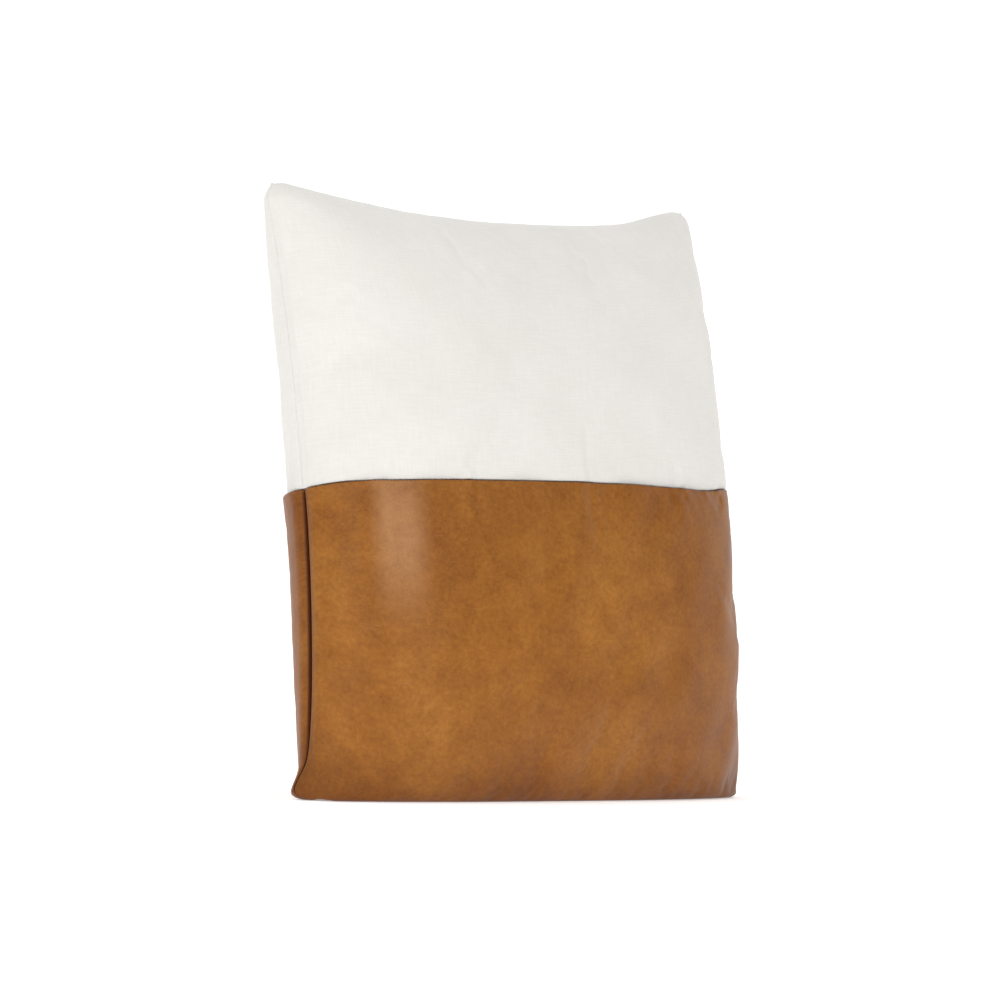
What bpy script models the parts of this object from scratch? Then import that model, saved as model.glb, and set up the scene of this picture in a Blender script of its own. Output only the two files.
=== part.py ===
"""Two-tone throw pillow standing on its bottom edge.

A woven cotton upper half and a leather lower half on both faces, joined by a
waist seam, closed along the bottom by a coil zipper, over a separate stuffed
insert.  +X is the width, the front faces -Y, the top leans towards +Y, +Z is up.
"""
import math

import bmesh
import bpy
import numpy as np

for old in list(bpy.data.objects):
    bpy.data.objects.remove(old, do_unlink=True)

# ---------------------------------------------------------------- dimensions
LEAN = math.radians(9.7)        # how far the pillow leans back
HALF_TOP = 0.2186               # half width between the side seams at the top
HALF_BOTTOM = 0.2195            # and at the bottom
PULL_IN_LEFT = 0.0080           # how far each side draws in between its corners
PULL_IN_RIGHT = 0.0062
TOP_DIP = 0.0165                # sag of the top edge between its corners
TOP_DIP_POWER = 1.8
TOP_LEFT_RISE = 0.0055          # the top edge climbs to its corners,
TOP_RIGHT_DIP = 0.0030          # in a long slope on the left,
TOP_RIGHT_RISE = 0.0060         # and in a short one on the right
EAR_TOP_LEFT = 0.0015           # the corners stand out from the sides
EAR_TOP_RIGHT = 0.0055
EAR_TOP_UP = 0.0030
EAR_BOTTOM_LEFT = 0.0105
EAR_BOTTOM_RIGHT = 0.0075
ROUND_LEFT = 0.0085             # the top corners are rounded off
ROUND_RIGHT = 0.0055
ROUND_UP = 0.0045
HEIGHT = 0.4752
CORNER_HEIGHT = 0.0020
SIDE_SHIFT = 0.0110
BASE_DROP = 0.0380              # how far the soft base is pressed flat
FULL_FRONT = 0.0834             # crown of each face, from the seam plane
FULL_BACK = 0.0845
U_POWER, U_ROUND, U_ROUND_BACK = 2.75, 0.500, 0.540
V_POWER, V_ROUND = 3.40, 0.500
TAPER = -0.055                  # fuller towards the bottom
BOW = -0.0110                   # the middle stands a little forward of the edges
WAIST_V = 0.0505                # the waist seam, between -1 (bottom) and 1 (top)
WAIST_BOW = 0.0450              # it arches up a little in the middle
WAIST_DROP = 0.0605             # and runs down into the side seams at its ends
WAIST_POWER = 14

COTTON_T = 0.0010
LEATHER_T = 0.0013
ALLOWANCE = 0.0090              # turned-in seam allowance round the edge
WAIST_ALLOWANCE = 0.0040        # and along the waist seam
SEAM_GAP = 0.0005               # half the gap between the faces at the seam
WAIST_GAP = 0.0006              # half the gap between the halves at the waist
PRESS = 0.0060                  # blend radius where the base meets the ground

ZIP_GAP = 0.0045                # half the width of the slot over the zipper
ZIP_LIFT = 0.0065               # the slot's edges sit this high over the ground
VALLEY = 0.0120                 # width of the rounded valley up to the slot
TAPE_HALF = 0.2030
CHAIN_HALF = 0.1860
SLIDER_X = 0.1760
SLIDER_TRAVEL = 0.3500
HINGE_Z = 0.0055

INSERT_INSET = 0.0135
INSERT_CUT = 0.0065
INSERT_FLOOR = 0.0175
INSERT_T = 0.0006
FILL_INSET = 0.0215
FILL_CUT = 0.0100
FILL_FLOOR = 0.0245

COVER = dict(inset=0.0, cut=0.0, floor=0.0, zip=True)
INSERT = dict(inset=INSERT_INSET, cut=INSERT_CUT, floor=INSERT_FLOOR, zip=False)
FILL = dict(inset=FILL_INSET, cut=FILL_CUT, floor=FILL_FLOOR, zip=False)

# ------------------------------------------------------------------- surface


def step(x, low, high):
    t = min(max((x - low) / (high - low), 0.0), 1.0)
    return t * t * (3.0 - 2.0 * t)


def pressed(z):
    """Height after the ground has pushed the soft base flat."""
    if z > PRESS:
        return z
    return 0.0 if z < -PRESS else (z + PRESS) ** 2 / (4.0 * PRESS)


def point(u, v, side, form):
    """A point of one face; u runs across, v runs up, side is -1 front, 1 back."""
    s = (v + 1.0) / 2.0
    half = HALF_BOTTOM + (HALF_TOP - HALF_BOTTOM) * s
    up, down = max(v, 0.0) ** 12, max(-v, 0.0) ** 12
    ear_left = EAR_TOP_LEFT * up + (EAR_BOTTOM_LEFT if form["zip"] else EAR_BOTTOM_RIGHT) * down
    ear_right = EAR_TOP_RIGHT * up + EAR_BOTTOM_RIGHT * down
    corner = max((v - 0.94) / 0.06, 0.0) ** 2
    left = -half + PULL_IN_LEFT * (1 - v * v) - ear_left + ROUND_LEFT * corner
    right = half - PULL_IN_RIGHT * (1 - v * v) + ear_right - ROUND_RIGHT * corner
    left, right = left + form["inset"], right - form["inset"]
    x = (left + right) / 2 + (right - left) / 2 * u + SIDE_SHIFT * s
    top = HEIGHT - TOP_DIP * (1 - abs(u) ** TOP_DIP_POWER) + EAR_TOP_UP * abs(u) ** 14
    top += TOP_LEFT_RISE * step(-u, 0.3, 1.0) - TOP_RIGHT_DIP * step(u, 0.0, 0.6)
    top += TOP_RIGHT_RISE * step(u, 0.62, 0.92) - ROUND_UP * max((abs(u) - 0.93) / 0.07, 0.0) ** 2
    base = CORNER_HEIGHT - BASE_DROP * (1 - abs(u) ** 8)
    z = base + form["inset"] + (top - base - 2 * form["inset"]) * s
    full = (FULL_FRONT if side < 0 else FULL_BACK) - form["cut"]
    rise = max(1 - abs(u) ** U_POWER, 0.0) ** (U_ROUND if side < 0 else U_ROUND_BACK)
    rise *= max(1 - abs(v) ** V_POWER, 0.0) ** V_ROUND
    edge = min(1 - abs(u), 1 - abs(v)) * 0.22
    rise = full * rise * (1 + TAPER * v) + 0.003 * (1 - math.exp(-edge / 0.006))
    near_base = math.exp(-(((v + 1) / 0.12) ** 2))
    slot = (1 - step(abs(u), 0.94, 0.972)) if form["zip"] else 0.0
    gap = SEAM_GAP + (ZIP_GAP - SEAM_GAP) * slot * near_base
    y = side * (gap + rise) + BOW * (1 - v * v)
    height = pressed(z * math.cos(LEAN) - y * math.sin(LEAN) - form["floor"])
    height += form["floor"]
    if form["zip"] and rise < VALLEY:
        lift = ZIP_LIFT * (1 - 0.75 * step(abs(u), 0.94, 1.0))
        height += lift * (1 - (rise / VALLEY) ** 2) ** 2 * near_base
    return np.array([x, y / math.cos(LEAN) + height * math.tan(LEAN), height])


def normal(u, v, side, form):
    """Outward unit normal of a face away from its edges."""
    e = 1e-3
    du = point(min(u + e, 0.9999), v, side, form) - point(max(u - e, -0.9999), v, side, form)
    dv = point(u, v + e, side, form) - point(u, v - e, side, form)
    n = np.cross(du, dv)
    n /= np.linalg.norm(n)
    return n if n[1] * side > 0 else -n


def waist(u):
    return WAIST_V + WAIST_BOW * (1 - u * u) - WAIST_DROP * abs(u) ** WAIST_POWER


HALF_COLUMNS = [0.0, 0.2, 0.4, 0.58, 0.74, 0.86, 0.94, 0.972, 0.99, 1.0]
COLUMNS = [-c for c in HALF_COLUMNS[:0:-1]] + HALF_COLUMNS
RUNS = [0.0, 0.2, 0.4, 0.58, 0.74, 0.87, 0.95, 0.985, 1.0]
HALF_INSERT = [0.0, 0.25, 0.5, 0.72, 0.88, 0.97, 1.0]
INSERT_COLUMNS = [-c for c in HALF_INSERT[:0:-1]] + HALF_INSERT

# the origin is the middle of the pillow's outline, seen from above, at ground level
rows_used = [1 - (1 - r) ** 2.2 for r in RUNS]
corners = [point(u, v, s, COVER) for u in COLUMNS for s in (-1, 1)
           for v in [waist(u) + (1 - waist(u)) * r for r in rows_used]
           + [waist(u) - (1 + waist(u)) * r for r in rows_used]]
SHIFT = -(np.min(corners, axis=0) + np.max(corners, axis=0)) / 2
SHIFT[2] = 0.0
SEAM_Y = point(0.0, -1.0, -1, COVER)[1] + ZIP_GAP / math.cos(LEAN) + SHIFT[1]

# ----------------------------------------------------------------- materials


def material(name, colour, roughness, metallic=0.0):
    found = bpy.data.materials.get(name)
    if found:
        return found
    made = bpy.data.materials.new(name)
    made.use_nodes = True
    shader = made.node_tree.nodes["Principled BSDF"]
    shader.inputs["Base Color"].default_value = (*colour, 1.0)
    shader.inputs["Roughness"].default_value = roughness
    shader.inputs["Metallic"].default_value = metallic
    return made


def cotton():
    return material("cotton", (0.86, 0.84, 0.80), 0.9)


def leather():
    return material("leather", (0.36, 0.14, 0.04), 0.55)


def thread_brown():
    return material("brown_thread", (0.05, 0.02, 0.008), 0.8)


def thread_white():
    return material("white_thread", (0.8, 0.78, 0.74), 0.8)


def tape():
    return material("zip_tape", (0.16, 0.07, 0.03), 0.9)


def coil():
    return material("zip_coil", (0.10, 0.04, 0.02), 0.4)


def metal():
    return material("antique_brass", (0.35, 0.22, 0.09), 0.35, 1.0)


def lining():
    return material("insert_cotton", (0.80, 0.79, 0.76), 0.95)


def fibre():
    return material("filling", (0.88, 0.88, 0.86), 1.0)


def add(name, verts, faces, mat, smooth=True):
    mesh = bpy.data.meshes.new(name)
    mesh.from_pydata([tuple(v) for v in verts], [], faces)
    bm = bmesh.new()
    bm.from_mesh(mesh)
    bmesh.ops.recalc_face_normals(bm, faces=bm.faces)
    bm.to_mesh(mesh)
    bm.free()
    mesh.materials.append(mat)
    obj = bpy.data.objects.new(name, mesh)
    bpy.context.scene.collection.objects.link(obj)
    if smooth:
        mesh.shade_smooth()
        mesh.set_sharp_from_angle(angle=math.radians(50))
    return obj


# -------------------------------------------------------------------- panels


def edge_move(u, v, form, allowance):
    """From a point on the outline to the raw edge of the allowance turned in there."""
    flat = 1.0 - step(abs(u), 0.94, 0.972) if form["zip"] else 0.0
    rise = np.array([0, math.tan(LEAN) * (1.0 - flat), 1.0])
    drop = np.array([0, -math.sin(LEAN), -math.cos(LEAN)])
    mid = waist(u) if form["zip"] else 0.0
    share = (v - mid) / (1 - mid) if v > mid else (v - mid) / (1 + mid)
    upright = drop * share if share > 0 else rise * -share
    return allowance * (np.array([-u, 0, 0]) + upright)


def shell(name, side, form, columns, rows, low, high, thickness, mat, allowance):
    """One cut panel with its allowances turned in; low and high are 'edge' or 'waist'."""
    verts, grid = [], []
    for v in rows:
        line = []
        for u in columns:
            line.append(len(verts))
            verts.append(point(u, v(u), side, form) + SHIFT)
        grid.append(line)
    last_i, last_j = len(rows) - 1, len(columns) - 1
    faces = [(grid[i][j], grid[i][j + 1], grid[i + 1][j + 1], grid[i + 1][j])
             for i in range(last_i) for j in range(last_j)]
    loop = [(0, j) for j in range(last_j + 1)]
    loop += [(i, last_j) for i in range(1, last_i + 1)]
    loop += [(last_i, j) for j in range(last_j - 1, -1, -1)]
    loop += [(i, 0) for i in range(last_i - 1, 0, -1)]
    ring = []
    for i, j in loop:
        u = columns[j]
        v = rows[i](u)
        move = edge_move(u, v, form, allowance)
        if (i == 0 and low == "waist") or (i == last_i and high == "waist"):
            near = abs(u) ** 16
            inside = -WAIST_ALLOWANCE * normal(min(max(u, -0.985), 0.985), v, side, form)
            move = near * edge_move(math.copysign(1.0, u), v, form, allowance) + (1 - near) * inside
        ring.append(len(verts))
        verts.append(verts[grid[i][j]] + move)
    for k, (i, j) in enumerate(loop):
        i2, j2 = loop[(k + 1) % len(loop)]
        faces.append((grid[i2][j2], grid[i][j], ring[k], ring[(k + 1) % len(loop)]))
    obj = add(name, verts, faces, mat)
    mesh = obj.data
    face = max(mesh.polygons, key=lambda f: f.area)
    if face.normal.y * side < 0:
        mesh.flip_normals()
    thick = obj.modifiers.new("thickness", "SOLIDIFY")
    thick.thickness = thickness
    thick.offset = -1.0
    thick.use_rim = True
    return obj


def eased(r):
    return 1 - (1 - r) ** 2.2


def upper_row(r):
    gap = WAIST_GAP / (HEIGHT / 2) * (1 - eased(r))
    return lambda u: waist(u) + gap + (1 - waist(u) - gap) * eased(r)


def lower_row(r):
    gap = WAIST_GAP / (HEIGHT / 2) * (1 - eased(r))
    return lambda u: waist(u) - gap - (1 + waist(u) - gap) * eased(r)


INSERT_ROWS = [math.copysign(eased(abs(k)), k) for k in
               (-1, -0.96, -0.87, -0.7, -0.48, -0.24, 0.0, 0.24, 0.48, 0.7, 0.87, 0.96, 1)]

for side, word in ((-1, "front"), (1, "back")):
    shell(word + "_upper_panel", side, COVER, COLUMNS, [upper_row(r) for r in RUNS],
          "waist", "edge", COTTON_T, cotton(), ALLOWANCE)
    shell(word + "_lower_panel", side, COVER, COLUMNS, [lower_row(r) for r in RUNS[::-1]],
          "edge", "waist", LEATHER_T, leather(), ALLOWANCE)
    shell("insert_" + word + "_cover", side, INSERT, INSERT_COLUMNS,
          [(lambda u, k=k: k) for k in INSERT_ROWS],
          "edge", "edge", INSERT_T, lining(), 0.006)

# ------------------------------------------------------------- stuffed filling
fill_verts, fill_faces, index = [], [], {}
most_i, most_j = len(INSERT_ROWS) - 1, len(INSERT_COLUMNS) - 1


def fill_index(i, j, side):
    border = i in (0, most_i) or j in (0, most_j)
    key = (i, j, 0 if border else side)
    if key not in index:
        u, v = INSERT_COLUMNS[j], INSERT_ROWS[i]
        p = point(u, v, side, FILL)
        if border:
            p = (point(u, v, -1, FILL) + point(u, v, 1, FILL)) / 2
        index[key] = len(fill_verts)
        fill_verts.append(p + SHIFT)
    return index[key]


for side in (-1, 1):
    for i in range(most_i):
        for j in range(most_j):
            fill_faces.append((fill_index(i, j, side), fill_index(i, j + 1, side),
                               fill_index(i + 1, j + 1, side), fill_index(i + 1, j, side)))
filling = add("insert_filling", fill_verts, fill_faces, fibre())
front_face = min(filling.data.polygons, key=lambda f: f.center.y)
if front_face.normal.y > 0:
    filling.data.flip_normals()

# ------------------------------------------------------------------- threads


def strand(name, path, radius, mat, sides=1):
    curve = bpy.data.curves.new(name, "CURVE")
    curve.dimensions = "3D"
    curve.bevel_depth = radius
    curve.bevel_resolution = sides
    curve.use_fill_caps = True
    line = curve.splines.new("POLY")
    line.points.add(len(path) - 1)
    for at, p in zip(line.points, path):
        at.co = (*p, 1.0)
    curve.materials.append(mat)
    obj = bpy.data.objects.new(name, curve)
    bpy.context.scene.collection.objects.link(obj)
    return obj


def seam_path(form, depth, start_u):
    """Along the seam plane inside the allowances: up one side, over the top, down."""
    columns = COLUMNS if form["zip"] else INSERT_COLUMNS
    if form["zip"]:
        heights = [lower_row(r)(1.0) for r in RUNS[-2::-1]] + [upper_row(r)(1.0) for r in RUNS[:-1]]
    else:
        heights = INSERT_ROWS[1:-1]
    way = [(u, -1.0) for u in columns if start_u < u < 1.0] + [(1.0, -1.0)]
    way += [(1.0, v) for v in heights]
    way += [(u, 1.0) for u in columns[::-1]]
    way += [(-1.0, v) for v in heights[::-1]]
    way += [(-1.0, -1.0)] + [(u, -1.0) for u in columns if -1.0 < u < -start_u]
    return [(point(u, v, -1, form) + point(u, v, 1, form)) / 2 + SHIFT
            + edge_move(u, v, form, depth) for u, v in way]


strand("side_seam_stitching", seam_path(COVER, 0.0070, 0.98), 0.0002, thread_brown())
insert_path = seam_path(INSERT, 0.0030, 0.6)
strand("insert_seam_stitching", insert_path, 0.0002, thread_white())
for side, word in ((-1, "front"), (1, "back")):
    path = []
    for u in [c for c in COLUMNS if abs(c) < 0.985]:
        path.append(point(u, waist(u), side, COVER)
                    - 0.0022 * normal(u, waist(u), side, COVER) + SHIFT)
    strand(word + "_waist_stitching", path, 0.00022, thread_brown())

# -------------------------------------------------------------------- zipper


def extruded(name, profile, x0, x1, mat):
    """A profile of (y, z) points run along X."""
    n = len(profile)
    verts = [(x, SEAM_Y + y, z) for x in (x0, x1) for y, z in profile]
    faces = [tuple(range(n)), tuple(range(2 * n - 1, n - 1, -1))]
    faces += [(i, (i + 1) % n, n + (i + 1) % n, n + i) for i in range(n)]
    return add(name, verts, faces, mat, smooth=False)


def block(name, low, high):
    """A box in the zipper's own frame, used to build up a slider."""
    (x0, y0, z0), (x1, y1, z1) = low, high
    verts = [(x, y, z) for x in (x0, x1) for y in (y0, y1) for z in (z0, z1)]
    faces = [(0, 1, 3, 2), (4, 6, 7, 5), (0, 4, 5, 1), (2, 3, 7, 6), (0, 2, 6, 4), (1, 5, 7, 3)]
    return add(name, verts, faces, metal(), smooth=False)


def union(base, others):
    for k, other in enumerate(others):
        other.hide_render = True
        other.display_type = "WIRE"
        other.location = base.location
        join = base.modifiers.new("join_%d" % k, "BOOLEAN")
        join.operation = "UNION"
        join.solver = "EXACT"
        join.object = other
    return base


MM = 0.001
TAPE_LOW, TAPE_T = 8.1 * MM, 0.5 * MM
for side, word in ((-1, "front"), (1, "back")):
    flat = [(0.55, 8.1), (4.2, 8.1), (4.2, 14.5), (3.7, 14.5), (3.7, 8.6), (0.55, 8.6)]
    extruded("zipper_tape_" + word, [(side * y * MM, z * MM) for y, z in flat],
             -TAPE_HALF, TAPE_HALF, tape())
    round_top = [(0.55, 9.0), (2.25, 9.0), (2.25, 10.0), (1.95, 10.55), (1.4, 10.8),
                 (0.85, 10.55), (0.55, 10.0)]
    extruded("zipper_coil_" + word, [(side * y * MM, z * MM) for y, z in round_top],
             -CHAIN_HALF, CHAIN_HALF, coil())
    stop_shape = [(0.55, 9.0), (2.35, 9.0), (2.35, 11.0), (0.55, 11.0)]
    extruded("zipper_top_stop_" + word, [(side * y * MM, z * MM) for y, z in stop_shape],
             CHAIN_HALF + 0.0003, CHAIN_HALF + 0.0033, metal())
    strand("tape_stitching_" + word,
           [(x, SEAM_Y + side * 3.2 * MM, 13.6 * MM) for x in np.linspace(-0.201, 0.201, 9)],
           0.0002, thread_brown())
extruded("zipper_bottom_stop",
         [(y * MM, z * MM) for y, z in ((-2.35, 9.0), (2.35, 9.0), (2.35, 11.0), (-2.35, 11.0))],
         -CHAIN_HALF - 0.0033, -CHAIN_HALF - 0.0003, metal())

# the slider: outer plate, inner plate, flanges, the post between the coils, and the bail
slider = block("zipper_slider", (-6 * MM, -3.2 * MM, 6.3 * MM), (6 * MM, 3.2 * MM, 7.3 * MM))
slider.location = (SLIDER_X, SEAM_Y, 0.0)
pieces = [
    ((-6, -3.2, 11.2), (6, 3.2, 12.2)),
    ((2, -0.25, 7.0), (5, 0.25, 11.5)),
    ((-6, -3.2, 10.5), (6, -2.6, 11.4)),
    ((-6, 2.6, 10.5), (6, 3.2, 11.4)),
    ((-6, -3.2, 7.1), (6, -2.6, 7.75)),
    ((-6, 2.6, 7.1), (6, 3.2, 7.75)),
    ((-3.4, -0.8, 4.3), (-2.4, 0.8, 6.6)),
    ((2.4, -0.8, 4.3), (3.4, 0.8, 6.6)),
    ((-3.41, -0.81, 3.9), (3.41, 0.81, 4.7)),
]
union(slider, [block("slider_form_%d" % k, [c * MM for c in low], [c * MM for c in high])
               for k, (low, high) in enumerate(pieces)])

# the pull hinges on its crossbar, which runs through the bail
HZ = HINGE_Z / MM
pull = block("zipper_pull", (-0.4 * MM, -2.3 * MM, -0.4 * MM), (0.4 * MM, 2.3 * MM, 0.4 * MM))
pull.location = (SLIDER_X, SEAM_Y, HINGE_Z)
pieces = [
    ((-5.8, -2.31, -0.41), (0.41, -1.3, 0.41)),
    ((-5.8, 1.3, -0.41), (0.41, 2.31, 0.41)),
    ((-18.0, -2.4, -0.42), (-5.2, 2.4, 0.42)),
]
union(pull, [block("pull_form_%d" % k, [c * MM for c in low], [c * MM for c in high])
             for k, (low, high) in enumerate(pieces)])
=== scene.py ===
import math

import bmesh
import bpy
import numpy as np
from mathutils import Matrix, Vector


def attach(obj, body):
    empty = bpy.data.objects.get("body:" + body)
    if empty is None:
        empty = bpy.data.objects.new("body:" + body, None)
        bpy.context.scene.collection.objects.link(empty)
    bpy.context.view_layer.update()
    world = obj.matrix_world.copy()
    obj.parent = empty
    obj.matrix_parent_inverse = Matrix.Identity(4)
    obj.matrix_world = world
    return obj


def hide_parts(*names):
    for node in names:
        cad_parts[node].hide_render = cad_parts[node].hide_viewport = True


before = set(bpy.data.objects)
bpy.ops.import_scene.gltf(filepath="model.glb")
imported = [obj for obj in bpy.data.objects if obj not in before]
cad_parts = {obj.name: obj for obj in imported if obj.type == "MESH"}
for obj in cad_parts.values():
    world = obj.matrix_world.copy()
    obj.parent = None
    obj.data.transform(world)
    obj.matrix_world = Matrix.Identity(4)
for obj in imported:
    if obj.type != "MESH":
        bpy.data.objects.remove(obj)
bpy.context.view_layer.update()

# ------------------------------------------------------------------ the shape
LEAN = math.radians(9.7)
HALF_TOP, HALF_BOTTOM = 0.2186, 0.2195
PULL_IN_LEFT, PULL_IN_RIGHT = 0.0080, 0.0062
TOP_DIP, TOP_DIP_POWER = 0.0165, 1.8
TOP_LEFT_RISE, TOP_RIGHT_DIP, TOP_RIGHT_RISE = 0.0045, 0.0015, 0.0060
EAR_TOP_LEFT, EAR_TOP_RIGHT, EAR_TOP_UP = 0.0015, 0.0055, 0.0030
EAR_BOTTOM_LEFT, EAR_BOTTOM_RIGHT = 0.0040, 0.0075
ROUND_LEFT, ROUND_RIGHT, ROUND_UP = 0.0085, 0.0055, 0.0045
LOBE, TURN, CORNER_SIT = 0.0012, 0.0105, 0.0075   # the bottom left corner stands out and is turned back
HEIGHT, CORNER_HEIGHT, SIDE_SHIFT = 0.4737, 0.0020, 0.0110
BASE_DROP = 0.0380
FULL_FRONT, FULL_BACK = 0.0834, 0.0845
U_POWER, U_ROUND, U_ROUND_BACK, V_POWER, V_ROUND = 2.75, 0.500, 0.540, 3.40, 0.500
TAPER, BOW = -0.055, -0.0110
WAIST_V, WAIST_BOW, WAIST_DROP, WAIST_POWER = 0.0505, 0.0450, 0.0605, 14
SEAM_GAP, WAIST_GAP, PRESS = 0.0005, 0.0006, 0.0060
ZIP_GAP, ZIP_LIFT, VALLEY = 0.0045, 0.0065, 0.0120
SLIDER_X, HINGE_Z = 0.1760, 0.0055
SHIFT = np.array([-0.00075, -0.02686, 0.0])   # puts the origin where the CAD has it
SEAM_Y = -0.02575                             # the bottom seam's plane


def smooth(x, low, high):
    t = np.clip((x - low) / (high - low), 0.0, 1.0)
    return t * t * (3.0 - 2.0 * t)


def pressed(z, soft=PRESS):
    return np.where(z > soft, z, np.where(z < -soft, 0.0, (z + soft) ** 2 / (4.0 * soft)))


def waist(u):
    return WAIST_V + WAIST_BOW * (1 - u * u) - WAIST_DROP * np.abs(u) ** np.where(u < 0, 9, WAIST_POWER)


def ground(u, v, side, groove=0.0, inset=0.0, cut=0.0, floor=0.0, zipped=True, seam=SEAM_GAP):
    """Points of one face of the pillow, in metres, before the origin is moved."""
    s = (v + 1.0) / 2.0
    half = HALF_BOTTOM + (HALF_TOP - HALF_BOTTOM) * s
    up, down = np.maximum(v, 0.0) ** 12, np.maximum(-v, 0.0) ** 12
    corner = np.maximum((v - 0.94) / 0.06, 0.0) ** 2
    heel = np.maximum((-v - 0.94) / 0.06, 0.0) ** 2 if zipped else 0.0 * v
    lobe = LOBE * np.exp(-(((v + 0.925) / 0.040) ** 2)) if zipped else 0.0
    ear = (EAR_BOTTOM_LEFT if zipped else EAR_BOTTOM_RIGHT) * down
    left = (-half + PULL_IN_LEFT * (1 - v * v) - EAR_TOP_LEFT * up - ear - lobe
            + ROUND_LEFT * corner + 0.0065 * heel + inset)
    right = (half - PULL_IN_RIGHT * (1 - v * v) + EAR_TOP_RIGHT * up + EAR_BOTTOM_RIGHT * down
             - ROUND_RIGHT * corner - 0.0050 * heel - inset)
    x = (left + right) / 2 + (right - left) / 2 * u + SIDE_SHIFT * s
    au = np.abs(u)
    top = HEIGHT - TOP_DIP * (1 - au ** TOP_DIP_POWER) + EAR_TOP_UP * au ** 14
    top = top + TOP_LEFT_RISE * smooth(-u, 0.3, 1.0) - TOP_RIGHT_DIP * smooth(u, 0.0, 0.6)
    top = top + TOP_RIGHT_RISE * smooth(u, 0.62, 0.92) - ROUND_UP * np.maximum((au - 0.93) / 0.07, 0.0) ** 2
    base = CORNER_HEIGHT - BASE_DROP * (1 - au ** 8)
    z = base + inset + (top - base - 2 * inset) * s
    if zipped:
        z = z - CORNER_SIT * au ** 8 * np.exp(-(((v + 1) / 0.14) ** 2))
    full = (FULL_FRONT if side < 0 else FULL_BACK) - cut
    rise = np.maximum(1 - au ** U_POWER, 0.0) ** (U_ROUND if side < 0 else U_ROUND_BACK)
    rise = rise * np.maximum(1 - np.abs(v) ** V_POWER, 0.0) ** V_ROUND
    edge = np.minimum(1 - au, 1 - np.abs(v)) * 0.22
    rise = full * rise * (1 + TAPER * v) + 0.003 * (1 - np.exp(-edge / 0.006))
    near_base = np.exp(-(((v + 1) / 0.12) ** 2))
    slot = (1 - smooth(au, 0.94, 0.972)) if zipped else 0.0 * au
    gap = seam + (ZIP_GAP - seam) * slot * near_base
    y = side * (gap + rise) + BOW * (1 - v * v)
    if zipped:
        y = y + TURN * smooth(-u, 0.93, 1.0) * np.exp(-(((v + 0.945) / 0.050) ** 2))
    # the edge seam draws the two faces into a narrow groove
    if groove:
        eu, ev = 1 - au, 1 - np.abs(v)
        at_side = ev / (eu + ev + 1e-9)
        draw = groove * np.exp(-((rise / 0.0027) ** 1.4)) * (1 - np.exp(-(((v + 1) / 0.19) ** 2)))
        x = x - np.sign(u) * draw * at_side
        z = z - np.where(v > 0, 1.0, 0.0) * draw * (1 - at_side)
    height = pressed(z * math.cos(LEAN) - y * math.sin(LEAN) - floor, 0.013 if zipped else PRESS) + floor
    if zipped:
        lift = ZIP_LIFT * (1 - smooth(au, 0.94, 0.976))
        height = height + np.where(rise < VALLEY, lift * (1 - (rise / VALLEY) ** 2) ** 2 * near_base, 0.0)
    return np.stack([x, y / math.cos(LEAN) + height * math.tan(LEAN), height], -1), rise


def eased(r):
    return 1 - (1 - r) ** 2.2


def v_of(u, t):
    """t runs from -1 at the base over 0 at the waist seam to 1 at the top."""
    w = waist(u)
    r = eased(np.abs(t))
    return np.where(t >= 0, w + (1 - w) * r, w - (1 + w) * r)


def u_of(a):
    return np.sign(a) * eased(np.abs(a))


def spread(curve, n_dense=3000):
    """Arc length along curve(t), t from 0 to 1, as (t, length)."""
    t = np.linspace(0.0, 1.0, n_dense)
    p = curve(t)
    return t, np.concatenate([[0], np.cumsum(np.linalg.norm(np.diff(p, axis=0), axis=1))])


# ------------------------------------------------------------ cloth simulation
# The cover is blown against its seams for a few frames, so the cloth takes the
# small tension folds that a stuffed cover has.  The result is a field of moves
# over (a, t), which the fine panels below take.
SIM_A, SIM_T = 85, 91
_sa, _la = spread(lambda t: ground(u_of(2 * t - 1), v_of(u_of(2 * t - 1), 0 * t + 0.3), -1)[0])
SIM_AS = np.interp(np.linspace(0, _la[-1], SIM_A), _la, _sa) * 2 - 1
_st, _lt = spread(lambda t: ground(0 * t, v_of(0 * t, 2 * t - 1), -1)[0])
SIM_TS = np.interp(np.linspace(0, _lt[-1], SIM_T), _lt, _st) * 2 - 1
SIM_TS[np.argmin(np.abs(SIM_TS))] = 0.0


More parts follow.
